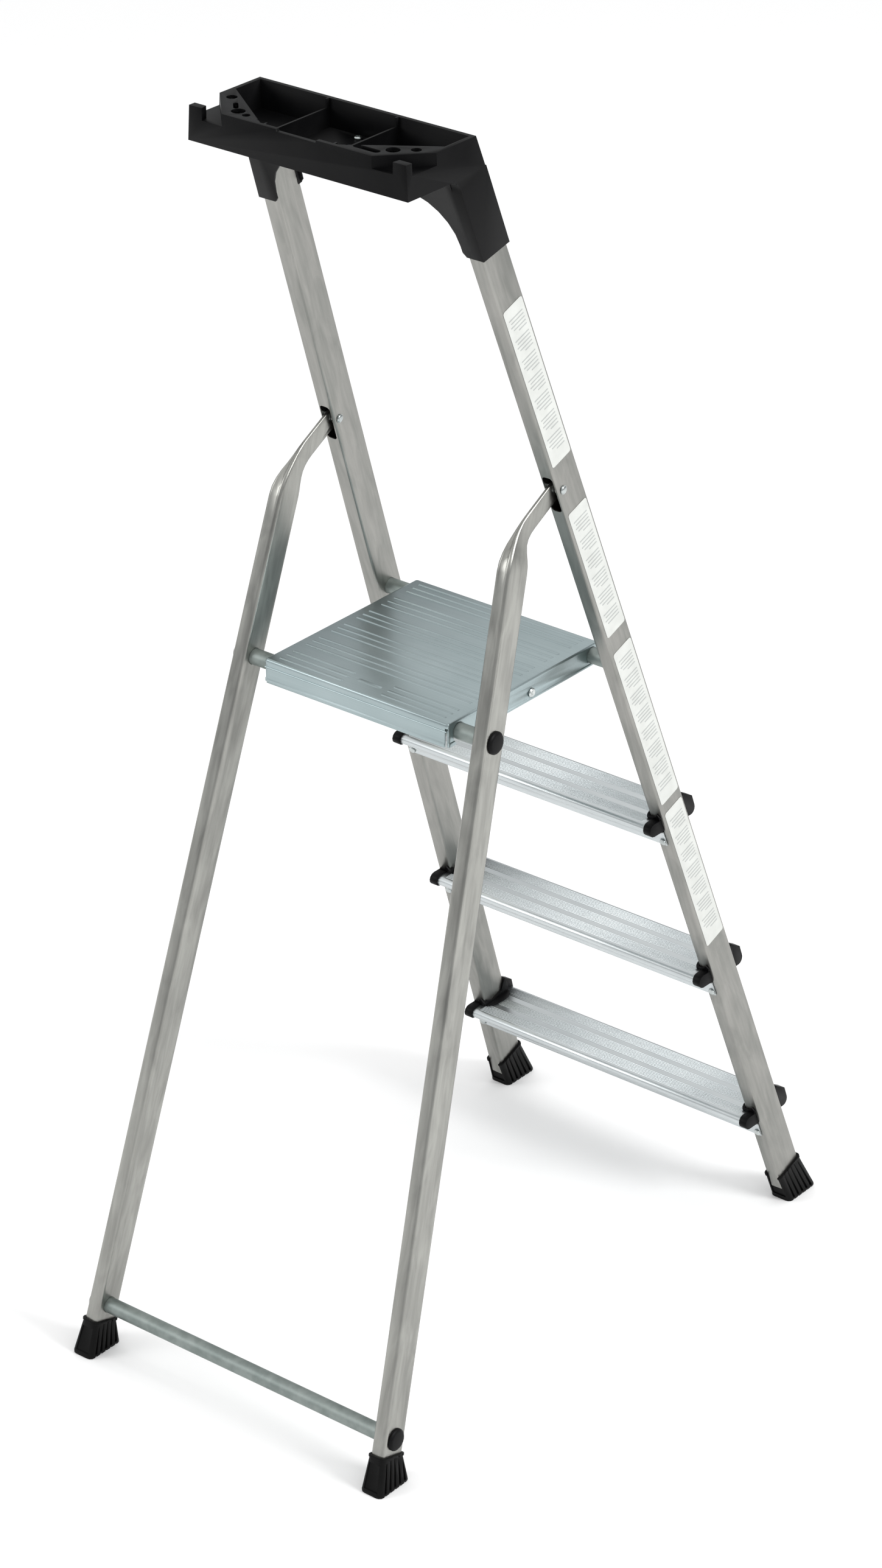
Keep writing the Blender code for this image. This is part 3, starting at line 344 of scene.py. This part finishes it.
def rivet_tree(material):
    """Domed rivet heads on points, each turned to its point's normal."""
    kinds = [("Head Radius", "NodeSocketFloat"), ("Dome", "NodeSocketFloat"), ("Rim", "NodeSocketFloat")]
    tree, given = new_tree("rivet_heads", kinds)
    disc = add(
        tree,
        "GeometryNodeMeshCylinder",
        {"Vertices": 32, "Radius": given["Head Radius"], "Depth": given["Rim"]},
    )
    half_rim = add(tree, "ShaderNodeMath", {0: given["Rim"], 1: 0.5}, operation="MULTIPLY").outputs[0]
    lift = add(tree, "ShaderNodeCombineXYZ", {2: half_rim}).outputs[0]
    washer = add(tree, "GeometryNodeTransform", {"Geometry": disc.outputs[0], "Translation": lift})
    inner = add(tree, "ShaderNodeMath", {0: given["Head Radius"], 1: 0.94}, operation="MULTIPLY").outputs[0]
    ball = add(tree, "GeometryNodeMeshUVSphere", {"Segments": 32, "Rings": 16, "Radius": inner})
    flat = add(tree, "ShaderNodeMath", {0: given["Dome"], 1: inner}, operation="DIVIDE").outputs[0]
    scale = add(tree, "ShaderNodeCombineXYZ", {0: 1.0, 1: 1.0, 2: flat}).outputs[0]
    up = add(tree, "ShaderNodeCombineXYZ", {2: given["Rim"]}).outputs[0]
    raised = {"Geometry": ball.outputs[0], "Scale": scale, "Translation": up}
    dome = add(tree, "GeometryNodeTransform", raised)
    head = add(tree, "GeometryNodeJoinGeometry")
    tree.links.new(washer.outputs[0], head.inputs[0])
    tree.links.new(dome.outputs[0], head.inputs[0])
    heading = add(tree, "GeometryNodeInputNamedAttribute", {"Name": "seat_axis"}, data_type="FLOAT_VECTOR")
    turn = add(tree, "FunctionNodeAlignRotationToVector", {"Vector": heading.outputs[0]}, axis="Z")
    placed = add(
        tree,
        "GeometryNodeInstanceOnPoints",
        {"Points": given["Geometry"], "Instance": head.outputs[0], "Rotation": turn.outputs[0]},
    )
    close_tree(tree, placed.outputs[0], material)
    return tree


def bead_tree(material):
    """A round bead along a path of edges."""
    tree, given = new_tree("rolled_bead", [("Bead Radius", "NodeSocketFloat")])
    path = add(tree, "GeometryNodeMeshToCurve", {0: given["Geometry"]})
    ring = add(tree, "GeometryNodeCurvePrimitiveCircle", {"Resolution": 12, "Radius": given["Bead Radius"]})
    swept = {"Curve": path.outputs[0], "Profile Curve": ring.outputs[0], "Fill Caps": True}
    bead = add(tree, "GeometryNodeCurveToMesh", swept)
    close_tree(tree, bead.outputs[0], material)
    return tree


def points_mesh(name, seats):
    """Loose points that carry the way each rivet faces."""
    mesh = bpy.data.meshes.new(name)
    mesh.from_pydata([tuple(place) for place, _ in seats], [], [])
    facing = mesh.attributes.new("seat_axis", "FLOAT_VECTOR", "POINT")
    for i, seat in enumerate(seats):
        facing.data[i].vector = seat[1]
    return mesh


def path_mesh(name, points):
    """A row of points joined by edges."""
    edges = [(i, i + 1) for i in range(len(points) - 1)]
    mesh = bpy.data.meshes.new(name)
    mesh.from_pydata([tuple(p) for p in points], edges, [])
    return mesh


RIDGES = ridge_tree(STEP_SHEET)
DECK_RIDGES = ridge_tree(DECK_SHEET)
RIVETS = rivet_tree(ZINC)
BEADS = bead_tree(DECK_SHEET)


# ---------------------------------------------------------------- where the slanting tubes and rivets are


def tube_axis(rule, side):
    """A slanting tube's own axes: its heading, its back and its outer side."""
    along = Vector((-side * rule["taper"], rule["lean"], 1.0)).normalized()
    back = Vector((0.0, 1.0, -rule["lean"])).normalized()
    out = back.cross(along).normalized()
    return along, back, out * (1 if out.x * side > 0 else -1)


def tube_centre(rule, side, z):
    return Vector((side * (rule["x"] - rule["taper"] * z), rule["y"] + rule["lean"] * z, z))


def head_seat(node, axis, head):
    """Where a rivet's head sits: on the node's own axis, one head's height below its far end."""
    points = [v.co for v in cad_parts[node].data.vertices]
    reach = max(p.dot(axis) for p in points)
    end = [p for p in points if p.dot(axis) > reach - 0.1 * MM]
    return sum(end, Vector()) / len(end) - axis * head


# ---------------------------------------------------------------- pieces


def tubes():
    """The round tubes across the ladder, open at both ends."""
    wall = 1.5 * MM
    for node, body in (("front_platform_tube", FRONT), ("rear_upper_tube", REAR), ("rear_lower_tube", REAR)):
        low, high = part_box(node)
        centre = middle(node)
        half = (high[0] - low[0]) / 2
        radius = (high[2] - low[2]) / 2
        profile = [(-half, radius), (half, radius), (half, radius - wall), (-half, radius - wall)]
        obj = turned(node + "_finished", profile, centre, (1, 0, 0), closed=True)
        dress(obj, body, TUBE_ZINC, (node,))


def tube_caps():
    for level in ("upper", "lower"):
        for side in SIDES:
            node = "tube_cap_%s_%s" % (level, side)
            refine(node, REAR, TRIM_PLASTIC, 0.5 * MM)


def rivet_heads(name, body, seats, nodes, radius, dome):
    """Domed heads in one piece, standing for the rivets of the nodes."""
    values = {"Head Radius": radius, "Dome": dome, "Rim": 0.7 * MM}
    heads = grown(name, RIVETS, values, points_mesh(name + "_seats", seats))
    smooth(heads.data)
    dress(heads, body, ZINC, nodes)


def rivets():
    seats, nodes = [], []
    for side_name, side in SIDES.items():
        back = tube_axis(STILE, side)[1]
        for level in LEVELS:
            for place, way in (("rear", 1), ("front", -1)):
                nodes.append("step_rivet_%s_%s_%s" % (level, place, side_name))
                seats.append((head_seat(nodes[-1], back * way, 2.2 * MM), back * way))
    rivet_heads("step_rivet_heads", FRONT, seats, nodes, 4.5 * MM, 1.5 * MM)
    seats, nodes = [], []
    for side_name, side in SIDES.items():
        out = tube_axis(STILE, side)[2]
        nodes.append("pivot_rivet_" + side_name)
        seats.append((head_seat(nodes[-1], out, 2.4 * MM), out))
        seats.append((head_seat(nodes[-1], -out, 1.6 * MM), -out))
    rivet_heads("pivot_rivet_heads", FRONT, seats, nodes, 5.1 * MM, 1.7 * MM)
    for side_name, side in SIDES.items():
        refine("platform_rivet_" + side_name, PLATFORM, ZINC)


def steps():
    """The treads: three groups of seven fine ribs with two flat bands between them."""
    for level in LEVELS:
        node = "step_" + level
        refine(node, FRONT, STEP_SHEET, 0.25 * MM)
        low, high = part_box(node)
        end = (high[0] - low[0]) / 2
        flat = (high[1] - low[1]) - 12 * MM
        pitch, ribs, groups = 2.5 * MM, 7, 3
        band = (flat - groups * (ribs - 1) * pitch) / (groups - 1) - 1.5 * MM
        group_pitch = (ribs - 1) * pitch + band
        span = group_pitch * (groups - 1) + (ribs - 1) * pitch
        values = {
            "Length": 2 * (end - 18 * MM),
            "Half Width": 0.9 * MM,
            "Height": 0.75 * MM,
            "Sink": 0.5 * MM,
            "Rib Pitch": pitch,
            "Group Pitch": group_pitch,
            "Ribs": ribs,
            "Groups": groups,
        }
        ridges = grown(node + "_ribs", RIDGES, values)
        centre = (low[1] + high[1]) / 2
        ridges.data.transform(Matrix.Translation((0, centre - span / 2, high[2])))
        smooth(ridges.data, 60)
        dress(ridges, FRONT, STEP_SHEET)


def deck():
    """The platform: six groups of three pressed ribs, the rearmost parted by a raised oblong."""
    refine("platform_deck", PLATFORM, DECK_SHEET, 0.35 * MM)
    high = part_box("platform_deck")[1]
    rear = high[1] - 1.0 * MM  # the flange, ahead of its rolled lip
    pitch, group_pitch = 11.2 * MM, 44.4 * MM
    start = rear - 12.6 * MM - 2 * pitch - 5 * group_pitch
    rule = {
        "Half Width": 3.0 * MM,
        "Height": 0.9 * MM,
        "Sink": 1.6 * MM,
        "Rib Pitch": pitch,
        "Group Pitch": group_pitch,
        "Ribs": 3,
    }
    full = grown("platform_ribs", DECK_RIDGES, {**rule, "Length": 238 * MM, "Groups": 5})
    full.data.transform(Matrix.Translation((0, start, high[2])))
    pieces = [full]
    for side_name, side in SIDES.items():
        part = grown("platform_rear_ribs_" + side_name, DECK_RIDGES, {**rule, "Length": 93 * MM, "Groups": 1})
        part.data.transform(Matrix.Translation((side * 72.5 * MM, start + 5 * group_pitch, high[2])))
        pieces.append(part)
    plate = {**rule, "Length": 38 * MM, "Half Width": 5.2 * MM, "Height": 0.9 * MM, "Ribs": 1, "Groups": 1}
    oblong = grown("platform_oblong", DECK_RIDGES, {**plate, "Sink": 2.2 * MM})
    oblong.data.transform(Matrix.Translation((-1 * MM, start + 5 * group_pitch + 10.4 * MM, high[2])))
    pieces.append(oblong)
    fold = [(x * 129 * MM, high[1] - 1.1 * MM, high[2] - 9.5 * MM) for x in (-1, 1)]
    crease = grown("platform_rear_crease", BEADS, {"Bead Radius": 0.9 * MM}, path_mesh("crease_path", fold))
    pieces.append(crease)
    for obj in pieces:
        smooth(obj.data, 60)
        dress(obj, PLATFORM, DECK_SHEET)


def stickers():
    """Plain vinyl stickers down the left stile's outer face, with grey bars where print would be."""
    along, back, out = tube_axis(STILE, -1)
    face = STILE["width"] + 0.25 * MM

    def at(z, across):
        return tube_centre(STILE, -1, z) + out * face + back * across

    def strip(bm, low, high, half, lift, middle_line=0.0):
        radius = min(half, 3 * MM, (high - low) / along.z / 2 - 0.05 * MM)
        length = (high - low) / along.z
        rim = []
        for turn, (sa, sb) in enumerate(((1, 1), (-1, 1), (-1, -1), (1, -1))):
            for k in range(5):
                angle = math.radians(90 * turn + 22.5 * k)
                a = sa * (half - radius) + radius * math.cos(angle)
                b = sb * (length / 2 - radius) + radius * math.sin(angle)
                rim.append(at((low + high) / 2, middle_line + a) + along * b + out * lift)
        top = [bm.verts.new(p) for p in rim]
        base = [bm.verts.new(p - out * 0.2 * MM) for p in rim]
        bm.faces.new(top)
        bm.faces.new(base[::-1])
        for i in range(len(rim)):
            j = (i + 1) % len(rim)
            bm.faces.new((base[i], base[j], top[j], top[i]))

    def finished(bm, name, material):
        bmesh.ops.recalc_face_normals(bm, faces=bm.faces)
        mesh = bpy.data.meshes.new(name)
        bm.to_mesh(mesh)
        bm.free()
        dress(new_object(name, mesh), FRONT, material)

    # Lowest and highest edge of each sticker
    plates = ((1.104, 1.302), (0.874, 1.042), (0.634, 0.851), (0.420, 0.621))
    line, block = 4.2 * MM, 6
    for i, (low, high) in enumerate(plates):
        name = "sticker_%d" % (i + 1)
        vinyl_sheet = bmesh.new()
        strip(vinyl_sheet, low, high, 16.5 * MM, 0.1 * MM)
        finished(vinyl_sheet, name, STICKER)
        bars = bmesh.new()
        for k in range(int((high - low - 24 * MM) / line)):
            if k % block == block - 1:
                continue
            z = high - 14 * MM - k * line
            half = (12.0, 11.0, 12.0, 10.5, 7.0)[k % block] * MM
            strip(bars, z - 0.7 * MM, z + 0.7 * MM, half, 0.2 * MM, half - 12 * MM)
        finished(bars, name + "_bars", STICKER_PRINT)


def plastic_parts():
    refine("tray", FRONT, TRAY_PLASTIC, 0.7 * MM)
    for level in LEVELS:
        for side in SIDES:
            refine("step_collar_%s_%s" % (level, side), FRONT, TRIM_PLASTIC, 0.45 * MM)


def shoe(node, body, rule, side):
    """A moulded shoe: five tapering flutes on each flank, a sunk panel on each end and a notched sole."""
    points = [v.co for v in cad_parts[node].data.vertices]
    sole = [p for p in points if p.z < 0.5 * MM]
    base = sum(sole, Vector()) / len(sole)
    half_long = max(abs(p.y - base.y) for p in sole)
    half_wide = max(abs(p.x - base.x) for p in sole)
    wall, edge = 2.2 * MM, 3 * MM  # of the sleeve round the tube; upright at the sole and at the rim
    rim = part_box(node)[1][2]
    step, deep = half_long / 3, 2.4 * MM
    flute = ((3.5 * MM, 2.0 * MM, deep), (rim - 8 * MM, 0.8 * MM, 0.6 * MM))  # height, half width, depth
    panel = ((6 * MM, 9.5 * MM), (rim - 9 * MM, 7.5 * MM))  # height, half width

    def skin_at(z):
        """Middle, half width and half length of the shoe at a height."""
        share = min(1.0, max(0.0, (z - edge) / (rim - 2 * edge)))
        top = tube_centre(rule, side, rim - edge)
        centre = Vector((base.x, base.y, z)).lerp(Vector((top.x, top.y, z)), share)
        wide = half_wide + (rule["width"] + wall - half_wide) * share
        long = half_long + (rule["depth"] + wall - half_long) * share
        return centre, wide, long

    bm = bmesh.new()

    def wedge(ends):
        low, high = [[bm.verts.new(p) for p in end] for end in ends]
        bm.faces.new(low[::-1])
        bm.faces.new(high)
        for i in range(4):
            j = (i + 1) % 4
            bm.faces.new((low[i], low[j], high[j], high[i]))

    for flank in (-1, 1):
        for k in range(-2, 3):
            ends = []
            for z, half, cut in flute:
                centre, wide, long = skin_at(z)
                y = centre.y + k * step * long / half_long
                near, far = centre.x + flank * (wide - cut), centre.x + flank * (wide + 4 * MM)
                ends.append([Vector((near, y - half, z)), Vector((far, y - half, z))])
                ends[-1] += [Vector((far, y + half, z)), Vector((near, y + half, z))]
            wedge(ends)
    for end in (-1, 1):
        ends = []
        for z, half in panel:
            centre, wide, long = skin_at(z)
            near, far = centre.y + end * (long - 1.1 * MM), centre.y + end * (long + 4 * MM)
            ends.append([Vector((centre.x - half, near, z)), Vector((centre.x + half, near, z))])
            ends[-1] += [Vector((centre.x + half, far, z)), Vector((centre.x - half, far, z))]
        wedge(ends)
    for k in range(-2, 3):
        y = base.y + k * step
        foot_of_notch, top_of_notch = (2.6 * MM, -1 * MM), (0.9 * MM, 1.6 * MM)
        section = [(y - foot_of_notch[0], foot_of_notch[1]), (y + foot_of_notch[0], foot_of_notch[1])]
        section += [(y + top_of_notch[0], top_of_notch[1]), (y - top_of_notch[0], top_of_notch[1])]
        wedge([[Vector((base.x + a * 20 * MM, b, z)) for b, z in section] for a in (-1, 1)])
    bmesh.ops.recalc_face_normals(bm, faces=bm.faces)
    mesh = bpy.data.meshes.new(node + "_cutters")
    bm.to_mesh(mesh)
    bm.free()
    cutters = new_object(node + "_cutters", mesh)

    bm = bmesh.new()
    bm.from_mesh(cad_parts[node].data)
    bmesh.ops.remove_doubles(bm, verts=bm.verts, dist=0.01 * MM)
    mesh = bpy.data.meshes.new(node + "_finished")
    bm.to_mesh(mesh)
    bm.free()
    obj = new_object(node + "_finished", mesh)
    carve = obj.modifiers.new("carve", "BOOLEAN")
    carve.operation = "DIFFERENCE"
    carve.object = cutters
    carve.use_self = True
    rounding = obj.modifiers.new("rounding", "BEVEL")
    rounding.width = 0.35 * MM
    rounding.segments = 2
    rounding.limit_method = "ANGLE"
    rounding.angle_limit = math.radians(40)
    baked(obj)
    bpy.data.objects.remove(cutters)
    smooth(obj.data)
    dress(obj, body, SHOE_RUBBER, (node,))


def shoes():
    for side_name, side in SIDES.items():
        shoe("front_foot_" + side_name, FRONT, STILE, side)
        shoe("rear_foot_" + side_name, REAR, LEG, side)


def steel_parts():
    for side in SIDES:
        refine("front_stile_" + side, FRONT, STILE_STEEL, 0.0, 40)
        refine("rear_leg_" + side, REAR, LEG_STEEL, 0.0, 50)
    refine("tray_screw", FRONT, ZINC)


def plain_nodes():
    """CAD nodes that stay as they are and only take a finish."""
    coats = {"painted_steel": STILE_STEEL, "galvanised_sheet": DECK_SHEET, "zinc_plated_steel": ZINC}
    names = {"tray_brace": "painted_steel", "platform_stiffener": "galvanised_sheet"}
    for side in SIDES:
        for place in ("inner", "outer"):
            names["pivot_spacer_%s_%s" % (place, side)] = "zinc_plated_steel"
    for node, slot in names.items():
        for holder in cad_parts[node].material_slots:
            holder.material = coats[slot]


# ---------------------------------------------------------------- stage


def stage():
    """A white floor, a soft bright sky with a darker horizon for the metal to reflect, and two large soft
    lights. What shows behind the ladder is plain and pale."""
    mesh = bpy.data.meshes.new("studio_floor")
    half = 14.0
    corners = [(x * half, y * half, 0) for x, y in ((-1, -1), (1, -1), (1, 1), (-1, 1))]
    mesh.from_pydata(corners, [], [(0, 1, 2, 3)])
    floor = new_object("studio_floor", mesh)
    material, tree, shader, place = base_material("pale_studio_floor", 0.95)
    shader.inputs["Base Color"].default_value = linear("#fcfcfc")
    shader.inputs["Specular IOR Level"].default_value = 0.1
    mesh.materials.append(material)

    scene = bpy.context.scene
    scene.view_settings.view_transform = "Standard"
    world = bpy.data.worlds.new("studio_sky")
    scene.world = world
    world.use_nodes = True
    tree = world.node_tree
    backdrop = tree.nodes["Background"]
    heading = add(tree, "ShaderNodeTexCoord").outputs["Generated"]
    height = add(tree, "ShaderNodeSeparateXYZ", {0: heading}).outputs[2]
    sky = add(tree, "ShaderNodeValToRGB", {"Fac": height})
    for stop, colour in zip(sky.color_ramp.elements, ("#8f9294", "#ffffff")):
        stop.color = linear(colour)
    sky.color_ramp.elements[0].position = 0.05
    sky.color_ramp.elements[1].position = 0.5
    seen = add(tree, "ShaderNodeLightPath").outputs["Is Camera Ray"]
    behind = {0: seen, 6: sky.outputs["Color"], 7: linear("#fafafa")}
    shown = add(tree, "ShaderNodeMix", behind, data_type="RGBA")
    tree.links.new(shown.outputs[2], backdrop.inputs["Color"])
    backdrop.inputs["Strength"].default_value = SKY_STRENGTH

    def soft_light(name, place, target, size, power):
        data = bpy.data.lights.new(name, "AREA")
        data.shape = "DISK"
        data.size = size
        data.energy = power
        obj = bpy.data.objects.new(name, data)
        bpy.context.collection.objects.link(obj)
        obj.location = place
        obj.rotation_euler = (Vector(target) - Vector(place)).to_track_quat("-Z", "Y").to_euler()

    soft_light("key_light", (-4.2, -0.6, 3.4), (0, 0, 0.8), 1.8, KEY_POWER)
    soft_light("fill_light", (3.2, 3.6, 3.0), (0, 0, 0.8), 2.4, FILL_POWER)


def camera():
    """Behind the ladder, off its left rear corner, looking down on it through a long lens."""
    data = bpy.data.cameras.new("view")
    obj = bpy.data.objects.new("view", data)
    bpy.context.collection.objects.link(obj)
    azimuth, elevation, distance = math.radians(218.847), math.radians(26.948), 5.334
    target = Vector((-0.0282, 0.0700, 0.7500))
    back = Vector(
        (
            math.sin(azimuth) * math.cos(elevation),
            -math.cos(azimuth) * math.cos(elevation),
            math.sin(elevation),
        )
    )
    obj.location = target + back * distance
    obj.rotation_euler = (-back).to_track_quat("-Z", "Y").to_euler()
    data.sensor_width = 36.0
    data.lens = 110.14
    data.shift_x = 0.00354
    data.shift_y = -0.03201
    bpy.context.scene.camera = obj


steel_parts()
plastic_parts()
shoes()
rivets()
tubes()
tube_caps()
steps()
deck()
stickers()
plain_nodes()
stage()
camera()
